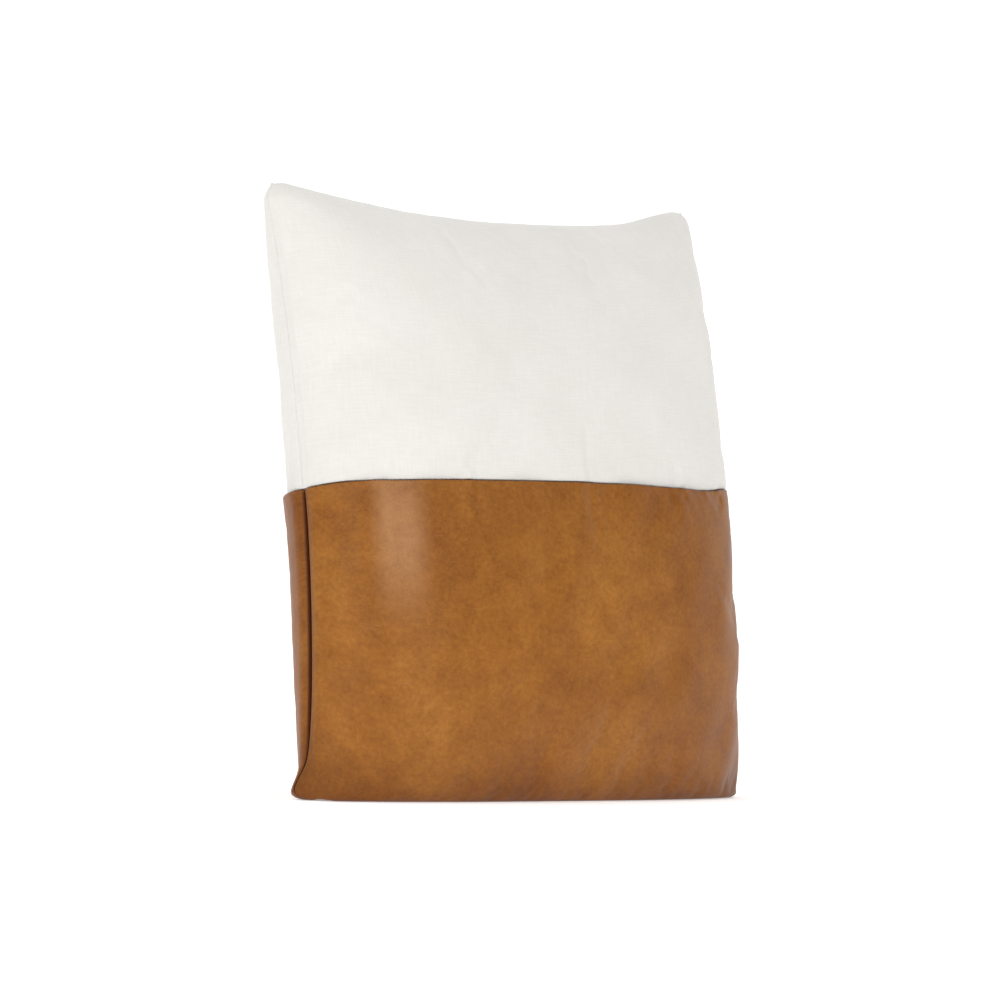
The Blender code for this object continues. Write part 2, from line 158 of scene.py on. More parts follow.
def simulate():
    a, t = np.meshgrid(SIM_AS, SIM_TS, indexing="ij")
    u = u_of(a)
    v = v_of(u, t)
    sides = [ground(u, v, s)[0] + SHIFT for s in (-1, 1)]
    index = -np.ones((2, SIM_A, SIM_T), int)
    verts = []
    for k in (0, 1):
        for i in range(SIM_A):
            for j in range(SIM_T):
                rim = i in (0, SIM_A - 1) or j in (0, SIM_T - 1)
                if k == 1 and rim:
                    index[k, i, j] = index[0, i, j]
                    continue
                index[k, i, j] = len(verts)
                p = sides[k][i, j]
                verts.append((sides[0][i, j] + sides[1][i, j]) / 2 if rim else p)
    faces = []
    for k in (0, 1):
        for i in range(SIM_A - 1):
            for j in range(SIM_T - 1):
                f = [index[k, i, j], index[k, i + 1, j], index[k, i + 1, j + 1], index[k, i, j + 1]]
                faces.append(f if k == 0 else f[::-1])
    mesh = bpy.data.meshes.new("sim")
    mesh.from_pydata([tuple(p) for p in verts], [], faces)
    obj = bpy.data.objects.new("sim", mesh)
    bpy.context.scene.collection.objects.link(obj)
    start = np.array(verts)
    pins = obj.vertex_groups.new(name="pins")
    flat = start[:, 2] < 0.0015
    for i in range(SIM_A):
        for j in range(SIM_T):
            for k in (0, 1):
                n = int(index[k, i, j])
                if i in (0, SIM_A - 1) or j in (0, SIM_T - 1) or flat[n]:
                    pins.add([n], 1.0, "REPLACE")
                elif SIM_TS[j] == 0.0:
                    pins.add([n], 0.35, "REPLACE")
    cloth = obj.modifiers.new("cloth", "CLOTH")
    st = cloth.settings
    st.quality = 5
    st.mass = 0.25
    st.tension_stiffness = st.compression_stiffness = 18
    st.shear_stiffness = 8
    st.bending_stiffness = 0.35
    st.tension_damping = st.compression_damping = 8
    st.air_damping = 2.0
    st.vertex_group_mass = "pins"
    st.pin_stiffness = 1.0
    st.shrink_min = -0.022
    st.use_pressure = True
    st.uniform_pressure_force = 4.0
    st.effector_weights.gravity = 0.0
    cloth.collision_settings.use_collision = False
    cloth.collision_settings.use_self_collision = False
    cloth.point_cache.frame_start, cloth.point_cache.frame_end = 1, 24
    scene = bpy.context.scene
    for f in range(1, 23):
        scene.frame_set(f)
    got = obj.evaluated_get(bpy.context.evaluated_depsgraph_get()).to_mesh()
    now = np.empty(len(got.vertices) * 3, np.float32)
    got.vertices.foreach_get("co", now)
    now = now.reshape(-1, 3).astype(float)
    scene.frame_set(1)
    move = now - start
    size = np.linalg.norm(move, axis=1, keepdims=True)
    move *= np.minimum(1.0, 0.012 / np.maximum(size, 1e-9))
    bpy.data.objects.remove(obj)
    bpy.data.meshes.remove(mesh)
    return move[index]


def blur(field, passes):
    out = field.copy()
    for _ in range(passes):
        for ax in (1, 2):
            pad = np.concatenate([out.take([0], ax), out, out.take([-1], ax)], ax)
            out = (pad.take(range(0, out.shape[ax]), ax) + 2 * out + pad.take(range(2, out.shape[ax] + 2), ax)) / 4
    return out


MOVES = simulate()
print("sim move mm: max %.2f mean %.2f" % (np.linalg.norm(MOVES, axis=-1).max() * 1000,
                                          np.linalg.norm(MOVES, axis=-1).mean() * 1000))
broad = blur(MOVES, 60)
fine_part = MOVES - broad
print("fold mm: rms %.3f max %.2f" % (np.sqrt((fine_part ** 2).sum(-1).mean()) * 1000,
                                     np.linalg.norm(fine_part, axis=-1).max() * 1000))
fade = (smooth(1 - np.abs(SIM_AS), 0.0, 0.45)[:, None] * smooth(1 - np.abs(SIM_TS), 0.0, 0.40)[None, :])
MOVES = 0.10 * broad + 0.45 * fine_part * (0.10 + 0.90 * fade)[None, :, :, None]
MOVES[1] *= 0.5


def cubic(values, xs, x):
    """Catmull-Rom weights and indices of x among the knots xs (by knot number)."""
    f = np.interp(x, xs, np.arange(len(xs)))
    i = np.clip(np.floor(f).astype(int), 0, len(xs) - 2)
    t = f - i
    w = [(-t ** 3 + 2 * t ** 2 - t) / 2, (3 * t ** 3 - 5 * t ** 2 + 2) / 2,
         (-3 * t ** 3 + 4 * t ** 2 + t) / 2, (t ** 3 - t ** 2) / 2]
    return [np.clip(i + k, 0, len(xs) - 1) for k in (-1, 0, 1, 2)], w


def moved(k, a, t):
    """The simulated move at the outer product of a (columns) and t (rows)."""
    ia, wa = cubic(None, SIM_AS, a)
    it, wt = cubic(None, SIM_TS, t)
    field = MOVES[k]
    out = np.zeros((len(a), len(t), 3))
    for p in range(4):
        for q in range(4):
            out += wa[p][:, None, None] * wt[q][None, :, None] * field[ia[p]][:, it[q]]
    return out


# -------------------------------------------------------------- small reliefs
def make_noise(count, low, high, seed):
    rng = np.random.RandomState(seed)
    ang = rng.uniform(0, 2 * math.pi, count)
    lam = np.exp(rng.uniform(math.log(low), math.log(high), count))
    ph = rng.uniform(0, 2 * math.pi, count)
    amp = rng.uniform(0.5, 1.0, count)

    def noise(x, y):
        out = 0.0 * (x + y)
        for g, l, p, m in zip(ang, lam, ph, amp):
            out = out + m * np.sin(2 * math.pi * (x * math.cos(g) + y * math.sin(g)) / l + p)
        return out / math.sqrt(count * 0.3)
    return noise


def grid_normals(p):
    du = np.gradient(p, axis=0)
    dv = np.gradient(p, axis=1)
    n = np.cross(du, dv)
    n /= np.maximum(np.linalg.norm(n, axis=-1, keepdims=True), 1e-12)
    return n


def rows_between(total, first, last, step):
    """Distances from 0 to total (mm): the first and last lists at the ends, step between."""
    low, high = first[-1], total - last[-1]
    n = max(1, int(round((high - low) / step)))
    mid = np.linspace(low, high, n + 1)[1:-1]
    return np.concatenate([first, mid, total - np.array(last[::-1])])


EDGE = [0, 0.35, 0.8, 1.3, 1.9, 2.6, 3.4, 4.3, 5.3, 6.4, 7.5, 8.6, 9.8, 11.2, 12.8]
TUCK = [0, 0.12, 0.28, 0.5, 0.8, 1.15, 1.6, 2.2, 3.0, 4.0, 5.2, 6.6, 8.2]


def shell_object(name, points, loops, thickness, cut, material, painted_seam_shade=None):
    """points: (n, m, 3) outer face; loops: extra rings turned in from its outline."""
    n, m = points.shape[:2]
    verts = points.reshape(-1, 3)
    idx = np.arange(n * m).reshape(n, m)
    f = np.stack([idx[:-1, :-1], idx[1:, :-1], idx[1:, 1:], idx[:-1, 1:]], -1).reshape(-1, 4)
    faces = [f]
    border = np.concatenate([idx[:, 0], idx[-1, 1:], idx[-2::-1, -1], idx[0, -2:0:-1]])
    cuts = cut.reshape(-1, 3)
    before = border
    all_v, all_c = [verts], [cuts]
    count = len(verts)
    for ring, extra in loops:
        now = np.arange(count, count + len(border))
        all_v.append(ring)
        all_c.append(cuts[border] + extra)
        faces.append(np.stack([np.roll(before, -1), before, now, np.roll(now, -1)], -1))
        before = now
        count += len(border)
    verts = np.concatenate(all_v)
    cuts = np.concatenate(all_c)
    faces = np.concatenate(faces)
    mesh = bpy.data.meshes.new(name)
    mesh.from_pydata(verts.tolist(), [], faces.tolist())
    at = mesh.attributes.new("cut", "FLOAT_VECTOR", "POINT")
    at.data.foreach_set("vector", cuts.astype(np.float32).ravel())
    if painted_seam_shade is not None:
        shade = np.ones(len(verts), np.float32)
        shade[:n * m] = painted_seam_shade.ravel()
        mesh.attributes.new("painted_seam_shade", "FLOAT", "POINT").data.foreach_set("value", shade)
    obj = bpy.data.objects.new(name, mesh)
    bpy.context.scene.collection.objects.link(obj)
    mesh.materials.append(material)
    mesh.shade_smooth()
    thick = obj.modifiers.new("thickness", "SOLIDIFY")
    thick.thickness = thickness
    thick.offset = -1.0
    thick.use_rim = True
    made = bpy.data.meshes.new_from_object(obj.evaluated_get(bpy.context.evaluated_depsgraph_get()))
    obj.modifiers.clear()
    obj.data = made
    made.name = name
    made.shade_smooth()
    return obj, border


def edge_move(u, v, zipped, allowance):
    flat = (1.0 - smooth(np.abs(u), 0.94, 0.972)) if zipped else 0.0 * u
    mid = waist(u) if zipped else 0.0 * u
    share = np.where(v > mid, (v - mid) / (1 - mid), (v - mid) / (1 + mid))
    zero = 0.0 * u
    rise = np.stack([zero, math.tan(LEAN) * (1.0 - flat), zero + 1.0], -1)
    drop = np.stack([zero, zero - math.sin(LEAN), zero - math.cos(LEAN)], -1)
    upright = np.where(share[..., None] > 0, drop * share[..., None], rise * -share[..., None])
    return allowance * (np.stack([-u, zero, zero], -1) + upright)


FOLDS = {("lower", -1): make_noise(10, 0.045, 0.14, 3), ("lower", 1): make_noise(10, 0.045, 0.14, 4),
         ("upper", -1): make_noise(10, 0.05, 0.16, 5), ("upper", 1): make_noise(10, 0.05, 0.16, 6)}
RIPPLE = make_noise(6, 0.007, 0.015, 9)


def panel(name, side, half, material):
    """half is 'upper' (cotton) or 'lower' (leather)."""
    k = 0 if side < 0 else 1
    sign = 1.0 if half == "upper" else -1.0
    thickness = 0.0010 if half == "upper" else 0.0013
    groove = 0.0007 if half == "upper" else 0.0042
    seam = 0.00014 if half == "upper" else 0.00075
    ta, la = spread(lambda t: ground(u_of(2 * t - 1), v_of(u_of(2 * t - 1), 0 * t + sign * 0.35), side)[0])
    tt, lt = spread(lambda t: ground(0 * t, v_of(0 * t, sign * t), side)[0])
    cols = rows_between(la[-1] * 1000, EDGE, EDGE, 2.0) / 1000
    rows = rows_between(lt[-1] * 1000, TUCK, EDGE, 1.9) / 1000
    a = np.interp(cols, la, ta) * 2 - 1
    t = np.interp(rows, lt, tt)
    gap = WAIST_GAP * 0.5
    u = u_of(a)[:, None] + 0 * t
    v = v_of(u, sign * t[None, :] + 0 * u)
    # the half ends a hair from the waist line, and the room is taken up at once
    v = v + sign * gap / (HEIGHT / 2) * np.exp(-rows[None, :] / 0.006)
    v = np.clip(v, -1.0, 1.0)
    p, rise = ground(u, v, side, groove=groove, seam=seam)
    p = p + SHIFT + moved(k, a, sign * t)
    n = grid_normals(p)
    n *= np.sign(np.sum(n[len(a) // 2, len(t) // 3] * np.array([0, side, 0])))
    # --- reliefs along the normal, in metres
    x = (cols - cols[-1] / 2)[:, None] + 0 * t
    d = rows[None, :] + 0 * u                      # from the waist seam
    w = rise                                       # from the edge seam's plane
    off_base = 1 - np.exp(-((p[..., 2] / 0.012) ** 2))
    r = 0.0009 if half == "upper" else 0.0012
    inside = np.clip(1 - d / r, 0, 1)
    h = -r * (1 - np.sqrt(np.maximum(1 - inside ** 2, 0)))
    if half == "lower":
        h = h + (0.0010 if side < 0 else 0.0026) * np.exp(-d / 0.045)
        ridge = np.exp(-((w - 0.0108) / 0.0032) ** 2) * 0.00070 - np.exp(-((w - 0.0050) / 0.0026) ** 2) * 0.00060
        ridge = ridge * (1.0 if side < 0 else 0.3)
        # painted shade: a mask that darkens the leather inside the edge seam's groove and, on the front, in the shallow
        # valley beside it
        by_side = smooth(np.abs(u), 0.90, 0.97) * smooth(d, 0.0, 0.004)
        painted_seam_shade = by_side * np.exp(-((w / 0.0015) ** 4)) * (1 - np.exp(-(((v + 1) / 0.17) ** 2)))
        if side < 0:
            painted_seam_shade = np.maximum(painted_seam_shade, 0.20 * by_side * np.exp(-((w / 0.0085) ** 4)) * off_base)
        at_side = smooth(np.abs(u), 0.80, 0.93)
        h = h + ridge * at_side * off_base
        h = h + (0.00045 if side < 0 else 0.0002) * FOLDS[(half, side)](x, d) * off_base * smooth(w, 0.004, 0.03)
        h = h + 0.00012 * RIPPLE(x, d * 0.35) * np.exp(-d / 0.007) * smooth(d, 0.0, 0.002)
    else:
        painted_seam_shade = None
        h = h - 0.0005 * np.exp(-d / 0.02)
        ridge = np.exp(-((w - 0.0085) / 0.0020) ** 2) * 0.00030 - np.exp(-((w - 0.0045) / 0.0022) ** 2) * 0.00025
        h = h + ridge * smooth(np.maximum(np.abs(u), 0.0), 0.80, 0.93)
        h = h + 0.0005 * FOLDS[(half, side)](x, d) * smooth(w, 0.004, 0.03)
        h = h + 0.00014 * RIPPLE(x, d * 0.35) * np.exp(-d / 0.006) * smooth(d, 0.0, 0.002)
    p = p + n * h[..., None]
    p[..., 2] = np.maximum(p[..., 2], 0.0)
    # --- allowances turned in from the outline
    idx = np.arange(p.shape[0] * p.shape[1]).reshape(p.shape[:2])
    border = np.concatenate([idx[:, 0], idx[-1, 1:], idx[-2::-1, -1], idx[0, -2:0:-1]])
    flat_p, flat_u, flat_v = p.reshape(-1, 3)[border], u.ravel()[border], v.ravel()[border]
    flat_n = n.reshape(-1, 3)[border]
    flat_t = (np.abs(t)[None, :] + 0 * u).ravel()[border]
    at_waist = flat_t == 0
    near = np.where(at_waist, np.abs(flat_u) ** 16, 1.0)[:, None]
    loops = []
    drawn = groove * (1 - np.exp(-(((flat_v + 1) / 0.19) ** 2)))
    for share in (0.18, 0.42, 1.0):
        depth = share * np.maximum(0.0085 - drawn, 0.0025)[:, None]
        out = edge_move(np.where(at_waist, np.sign(flat_u), flat_u), flat_v, True, 1.0) * depth
        into = -flat_n * depth * 0.5
        loops.append((flat_p + near * out + (1 - near) * into, np.concatenate([0 * depth, 0 * depth, depth], 1)))
    cut = np.stack([x, sign * d, 0 * d], -1)
    if side > 0:
        cut[..., 0] *= -1
    if (side < 0) == (sign > 0):
        obj, _ = shell_object(name, p, loops, thickness, cut, material, painted_seam_shade)
    else:
        # keep the face turned outwards: run the rows the other way
        q = p[:, ::-1]
        c = cut[:, ::-1]
        idq = np.arange(q.shape[0] * q.shape[1]).reshape(q.shape[:2])
        bq = np.concatenate([idq[:, 0], idq[-1, 1:], idq[-2::-1, -1], idq[0, -2:0:-1]])
        src = np.empty(p.shape[0] * p.shape[1], int)
        src[border] = np.arange(len(border))
        orig = idx[:, ::-1].reshape(-1)[bq]
        order = src[orig]
        obj, _ = shell_object(name, q, [(ring[order], e[order]) for ring, e in loops], thickness, c, material,
                              None if painted_seam_shade is None else painted_seam_shade[:, ::-1])
    return obj, dict(p=p, n=n, u=u, a=a, cols=cols)


# ------------------------------------------------------------------ materials


def new_material(name):
    mat = bpy.data.materials.new(name)
    mat.use_nodes = True
    nt = mat.node_tree
    return mat, nt, nt.nodes["Principled BSDF"]


class Net:
    """A few short ways to lay out a node tree."""

    def __init__(self, nt):
        self.nt = nt

    def node(self, kind, **given):
        n = self.nt.nodes.new(kind)
        for key, value in given.items():
            setattr(n, key, value)
        return n

    def link(self, a, b):
        self.nt.links.new(a, b)

    def coords(self, name="cut"):
        n = self.node("ShaderNodeAttribute", attribute_type="GEOMETRY", attribute_name=name)
        return n.outputs["Vector"]

    def mapped(self, vec, scale=(1, 1, 1), rot=(0, 0, 0), loc=(0, 0, 0)):
        n = self.node("ShaderNodeMapping")
        n.inputs["Scale"].default_value = scale
        n.inputs["Rotation"].default_value = rot
        n.inputs["Location"].default_value = loc
        self.link(vec, n.inputs["Vector"])
        return n.outputs["Vector"]

    def noise(self, vec, scale, detail=3.0, rough=0.5, distortion=0.0):
        n = self.node("ShaderNodeTexNoise")
        n.inputs["Scale"].default_value = scale
        n.inputs["Detail"].default_value = detail
        n.inputs["Roughness"].default_value = rough
        n.inputs["Distortion"].default_value = distortion
        self.link(vec, n.inputs["Vector"])
        return n.outputs["Fac"]

    def voronoi(self, vec, scale, feature="F1", rand=1.0, out="Distance"):
        n = self.node("ShaderNodeTexVoronoi", feature=feature)
        n.inputs["Scale"].default_value = scale
        n.inputs["Randomness"].default_value = rand
        self.link(vec, n.inputs["Vector"])
        return n.outputs[out]

    def math(self, op, a, b=None, c=None, clamp=False):
        n = self.node("ShaderNodeMath", operation=op, use_clamp=clamp)
        for k, value in enumerate((a, b, c)):
            if value is None:
                continue
            if isinstance(value, (int, float)):
                n.inputs[k].default_value = value
            else:
                self.link(value, n.inputs[k])
        return n.outputs[0]

    def ramp(self, fac, stops, mode="LINEAR"):
        n = self.node("ShaderNodeValToRGB")
        n.color_ramp.interpolation = mode
        el = n.color_ramp.elements
        while len(el) > 1:
            el.remove(el[-1])
        el[0].position, el[0].color = stops[0][0], stops[0][1]
        for pos, col in stops[1:]:
            e = el.new(pos)
            e.color = col
        self.link(fac, n.inputs["Fac"])
        return n.outputs["Color"]

    def mix(self, fac, a, b, blend="MIX"):
        n = self.node("ShaderNodeMix", data_type="RGBA", blend_type=blend)
        for socket, value in zip((n.inputs[0], n.inputs[6], n.inputs[7]), (fac, a, b)):
            if isinstance(value, (int, float)):
                socket.default_value = value
            elif isinstance(value, tuple):
                socket.default_value = value
            else:
                self.link(value, socket)
        return n.outputs[2]

    def bump(self, height, strength, distance, normal=None):
        n = self.node("ShaderNodeBump")
        n.inputs["Strength"].default_value = strength
        n.inputs["Distance"].default_value = distance
        self.link(height, n.inputs["Height"])
        if normal is not None:
            self.link(normal, n.inputs["Normal"])
        return n.outputs["Normal"]


def srgb(r, g, b):
    def lin(c):
        c /= 255.0
        return c / 12.92 if c <= 0.04045 else ((c + 0.055) / 1.055) ** 2.4
    return (lin(r), lin(g), lin(b), 1.0)


def g(x):
    return (x, x, x, 1.0)


def cotton_material():
    mat, nt, bsdf = new_material("slub_cotton")
    k = Net(nt)
    vec = k.coords()
    # threads wander a little
    wander = k.node("ShaderNodeTexNoise")
    wander.inputs["Scale"].default_value = 55.0
    wander.inputs["Detail"].default_value = 2.0
    k.link(vec, wander.inputs["Vector"])
    sub = k.node("ShaderNodeVectorMath", operation="SUBTRACT")
    sub.inputs[1].default_value = (0.5, 0.5, 0.5)
    k.link(wander.outputs["Color"], sub.inputs[0])
    scale = k.node("ShaderNodeVectorMath", operation="SCALE")
    scale.inputs["Scale"].default_value = 0.0012
    k.link(sub.outputs[0], scale.inputs[0])
    add = k.node("ShaderNodeVectorMath", operation="ADD")
    k.link(vec, add.inputs[0])
    k.link(scale.outputs[0], add.inputs[1])
    sep = k.node("ShaderNodeSeparateXYZ")
    k.link(add.outputs[0], sep.inputs[0])
    pitch = 0.00125
    sx = k.math("SINE", k.math("MULTIPLY", sep.outputs["X"], math.pi / pitch))
    sy = k.math("SINE", k.math("MULTIPLY", sep.outputs["Y"], math.pi / pitch))
    over = k.math("MULTIPLY", sx, sy)                                  # plain weave, over and under
    weave = k.math("MULTIPLY_ADD", over, 0.5, 0.5)
    gaps = k.math("MULTIPLY", k.math("ABSOLUTE", sx), k.math("ABSOLUTE", sy))
    # slubs: thick runs of yarn along both directions
    slub_w = k.noise(k.mapped(vec, scale=(55, 640, 1)), 1.0, 2.0, 0.55)
    slub_h = k.noise(k.mapped(vec, scale=(640, 55, 1), loc=(3.1, 1.7, 0)), 1.0, 2.0, 0.55)
    slubs = k.math("ADD", k.math("POWER", slub_w, 2.0), k.math("POWER", slub_h, 2.0))
    fuzz = k.noise(vec, 2600.0, 2.0, 0.6)
    height = k.math("ADD", k.math("MULTIPLY", weave, 0.17), k.math("MULTIPLY", slubs, 0.95))
    height = k.math("ADD", height, k.math("MULTIPLY", fuzz, 0.25))
    height = k.math("ADD", height, k.math("MULTIPLY", gaps, 0.22))
    broad = k.noise(vec, 14.0, 3.0, 0.5)
    tone = k.ramp(broad, [(0.3, srgb(230, 227, 221)), (0.7, srgb(235, 232, 227))])
    fleck = k.ramp(k.math("MULTIPLY", slubs, 1.0), [(0.25, g(0.965)), (0.75, g(1.015))])
    seeds = k.ramp(k.voronoi(k.mapped(vec, scale=(1, 0.6, 1)), 95.0), [(0.0, g(0.80)), (0.045, g(1.0))])
    pits = k.ramp(gaps, [(0.0, g(0.962)), (0.35, g(1.0))])
    col = k.mix(1.0, tone, fleck, "MULTIPLY")
    col = k.mix(1.0, col, pits, "MULTIPLY")
    col = k.mix(0.35, col, k.mix(1.0, col, seeds, "MULTIPLY"))
    k.link(col, bsdf.inputs["Base Color"])
    k.link(k.ramp(slubs, [(0.2, g(0.95)), (0.9, g(0.86))]), bsdf.inputs["Roughness"])
    k.link(k.bump(height, 0.48, 0.00026), bsdf.inputs["Normal"])
    bsdf.inputs["Specular IOR Level"].default_value = 0.25
    bsdf.inputs["Sheen Weight"].default_value = 0.25
    bsdf.inputs["Sheen Roughness"].default_value = 0.6
    return mat


def leather_material():
    mat, nt, bsdf = new_material("tan_leather")
    k = Net(nt)
    vec = k.coords()
    big = k.noise(vec, 9.0, 4.0, 0.55, 0.4)
    mid = k.noise(vec, 48.0, 7.0, 0.70, 0.35)
    small = k.noise(vec, 260.0, 4.0, 0.65)
    tone = k.ramp(big, [(0.30, srgb(144, 86, 25)), (0.48, srgb(156, 97, 32)), (0.70, srgb(168, 110, 42))])
    cloud = k.ramp(mid, [(0.30, (0.83, 0.78, 0.66, 1.0)), (0.5, g(1.0)), (0.70, (1.15, 1.18, 1.24, 1.0))])
    speck = k.ramp(small, [(0.30, (0.84, 0.80, 0.72, 1.0)), (0.5, g(1.0)), (0.70, (1.15, 1.19, 1.28, 1.0))])
    pores = k.voronoi(vec, 900.0, "F1", 1.0)
    cells = k.voronoi(vec, 480.0, "DISTANCE_TO_EDGE", 1.0)
    # painted shade: the colour darkens towards the hem, where the leather rolls under, and towards the right hand seam
    place = k.node("ShaderNodeSeparateXYZ")
    k.link(vec, place.inputs[0])
    painted_hem_shade = k.ramp(k.math("MULTIPLY", place.outputs["Y"], -2.0), [(0.410, g(1.0)), (0.535, (0.62, 0.53, 0.36, 1.0))], "EASE")
    painted_flank_shade = k.ramp(k.math("MULTIPLY_ADD", place.outputs["X"], 2.0, 0.5),
                   [(0.50, g(1.0)), (0.96, (0.78, 0.71, 0.58, 1.0))], "EASE")
    # painted shade: the leather is darker towards the waist seam
    painted_waist_shade = k.ramp(k.math("MULTIPLY", place.outputs["Y"], -2.0), [(0.0, (0.87, 0.84, 0.77, 1.0)), (0.26, g(1.0))], "EASE")
    crease_vec = k.node("ShaderNodeVectorMath", operation="ADD")
    warp = k.node("ShaderNodeTexNoise")
    warp.inputs["Scale"].default_value = 35.0
    k.link(vec, warp.inputs["Vector"])
    warp_s = k.node("ShaderNodeVectorMath", operation="SCALE")
    warp_s.inputs["Scale"].default_value = 0.012
    k.link(warp.outputs["Color"], warp_s.inputs[0])
    k.link(vec, crease_vec.inputs[0])
    k.link(warp_s.outputs[0], crease_vec.inputs[1])
    creases = k.voronoi(crease_vec.outputs[0], 75.0, "DISTANCE_TO_EDGE", 1.0)
    crease = k.ramp(creases, [(0.0, g(0.0)), (0.035, g(1.0))])
    crease_here = k.ramp(k.noise(vec, 22.0, 2.0, 0.5), [(0.50, g(0.0)), (0.62, g(1.0))])
    scratch = k.noise(k.mapped(vec, scale=(38, 900, 1), rot=(0, 0, 0.5)), 1.0, 2.0, 0.5)
    scratch_line = k.ramp(scratch, [(0.70, g(0.0)), (0.76, g(1.0))])
    col = k.mix(1.0, tone, cloud, "MULTIPLY")
    for shade in (speck, painted_hem_shade, painted_flank_shade, painted_waist_shade):
        col = k.mix(1.0, col, shade, "MULTIPLY")
    # a painted highlight: a paler band runs down from the waist on the left
    highlight_across = k.ramp(k.math("MULTIPLY_ADD", place.outputs["X"], 5.0, 1.5),
                   [(0.49, g(0.0)), (0.59, g(1.0)), (0.65, g(1.0)), (0.77, g(0.0))], "EASE")
    highlight_down = k.ramp(k.math("MULTIPLY", place.outputs["Y"], -4.0), [(0.0, g(0.8)), (0.18, g(1.0)), (0.52, g(0.0))], "EASE")
    painted_highlight_band = k.math("MULTIPLY", k.math("MULTIPLY", highlight_across, highlight_down), k.math("MULTIPLY_ADD", mid, 0.5, 0.20))
    col = k.mix(painted_highlight_band, col, srgb(198, 150, 108))
    col = k.mix(k.math("MULTIPLY", scratch_line, 0.30), col, srgb(196, 140, 90))
    dark_crease = k.math("MULTIPLY", k.math("SUBTRACT", 1.0, crease), k.math("MULTIPLY", crease_here, 0.18))
    col = k.mix(dark_crease, col, srgb(100, 55, 22))
    pebble = k.ramp(cells, [(0.0, (0.90, 0.87, 0.82, 1.0)), (0.14, g(1.0)), (0.45, (1.04, 1.05, 1.07, 1.0))])
    col = k.mix(0.8, col, k.mix(1.0, col, pebble, "MULTIPLY"))
    # painted shade: the leather goes near black inside the edge seam's groove, from the mask stored on the mesh
    painted_seam_shade = k.node("ShaderNodeAttribute", attribute_type="GEOMETRY", attribute_name="painted_seam_shade")
    col = k.mix(painted_seam_shade.outputs["Fac"], col, srgb(70, 26, 2))
    # the sewn edge along the waist is dark, with a small nick at every stitch; the same dark band paints the shade in
    # the seam's valley
    nick = k.math("MULTIPLY_ADD", k.math("SINE", k.math("MULTIPLY", place.outputs["X"], 2 * math.pi / 0.0032)), 0.40, 0.60)
    lip = k.ramp(k.math("MULTIPLY", place.outputs["Y"], -500.0), [(0.0, g(1.0)), (0.30, g(0.9)), (0.62, g(0.0))])
    col = k.mix(k.math("MULTIPLY", lip, nick), col, srgb(52, 24, 6))
    k.link(col, bsdf.inputs["Base Color"])
    grain = k.ramp(cells, [(0.0, g(0.0)), (0.16, g(1.0))])
    height = k.math("ADD", k.math("MULTIPLY", grain, 0.35), k.math("MULTIPLY", small, 0.55))
    height = k.math("ADD", height, k.math("MULTIPLY", pores, 0.15))
    height = k.math("ADD", height, k.math("MULTIPLY", k.math("MULTIPLY", crease, crease_here), 0.30))
    n1 = k.bump(mid, 0.30, 0.0010)
    k.link(k.bump(height, 0.42, 0.00026, n1), bsdf.inputs["Normal"])
    rough = k.math("ADD", k.math("MULTIPLY", mid, 0.22), k.math("MULTIPLY", small, 0.18))
    k.link(k.math("ADD", k.math("ADD", rough, 0.25), k.math("MULTIPLY", painted_seam_shade.outputs["Fac"], 0.45), clamp=True),
           bsdf.inputs["Roughness"])
    bsdf.inputs["Specular IOR Level"].default_value = 0.23
    bsdf.inputs["Sheen Weight"].default_value = 0.03
    bsdf.inputs["Sheen Roughness"].default_value = 0.5
    return mat


def yarn_material(name, colour, dark, scale=1500.0):
    mat, nt, bsdf = new_material(name)
    k = Net(nt)
    tc = k.node("ShaderNodeTexCoord").outputs["Object"]
    twist = k.node("ShaderNodeTexWave", wave_type="BANDS", bands_direction="DIAGONAL")
    twist.inputs["Scale"].default_value = scale
    twist.inputs["Distortion"].default_value = 1.2
    k.link(tc, twist.inputs["Vector"])
    fluff = k.noise(tc, scale * 1.7, 2.0, 0.6)
    fac = k.math("ADD", k.math("MULTIPLY", twist.outputs["Fac"], 0.6), k.math("MULTIPLY", fluff, 0.4))
    k.link(k.ramp(fac, [(0.15, dark), (0.8, colour)]), bsdf.inputs["Base Color"])
    k.link(k.ramp(fac, [(0.0, g(0.9)), (1.0, g(0.7))]), bsdf.inputs["Roughness"])
    k.link(k.bump(fac, 0.6, 0.00012), bsdf.inputs["Normal"])
    bsdf.inputs["Specular IOR Level"].default_value = 0.3
    return mat


def tape_material():
    mat, nt, bsdf = new_material("zip_tape_twill")
    k = Net(nt)
    tc = k.node("ShaderNodeTexCoord").outputs["Object"]
    ribs = k.node("ShaderNodeTexWave", wave_type="BANDS", bands_direction="DIAGONAL")
    ribs.inputs["Scale"].default_value = 420.0
    ribs.inputs["Distortion"].default_value = 0.6
    k.link(tc, ribs.inputs["Vector"])
    spread_ = k.noise(tc, 900.0, 3.0, 0.6)
    fac = k.math("ADD", k.math("MULTIPLY", ribs.outputs["Fac"], 0.65), k.math("MULTIPLY", spread_, 0.35))
    k.link(k.ramp(fac, [(0.2, srgb(58, 34, 18)), (0.85, srgb(104, 66, 38))]), bsdf.inputs["Base Color"])
    k.link(k.ramp(spread_, [(0.2, g(0.95)), (0.9, g(0.8))]), bsdf.inputs["Roughness"])
    k.link(k.bump(fac, 0.5, 0.0002), bsdf.inputs["Normal"])
    return mat


def coil_material():
    mat, nt, bsdf = new_material("zip_coil_nylon")
    k = Net(nt)
    tc = k.node("ShaderNodeTexCoord").outputs["Object"]
    n = k.noise(tc, 1200.0, 3.0, 0.6)
    k.link(k.ramp(n, [(0.3, srgb(66, 38, 20)), (0.8, srgb(98, 60, 34))]), bsdf.inputs["Base Color"])
    k.link(k.ramp(n, [(0.2, g(0.32)), (0.9, g(0.5))]), bsdf.inputs["Roughness"])
    k.link(k.bump(n, 0.25, 0.00008), bsdf.inputs["Normal"])
    bsdf.inputs["Specular IOR Level"].default_value = 0.5
    return mat


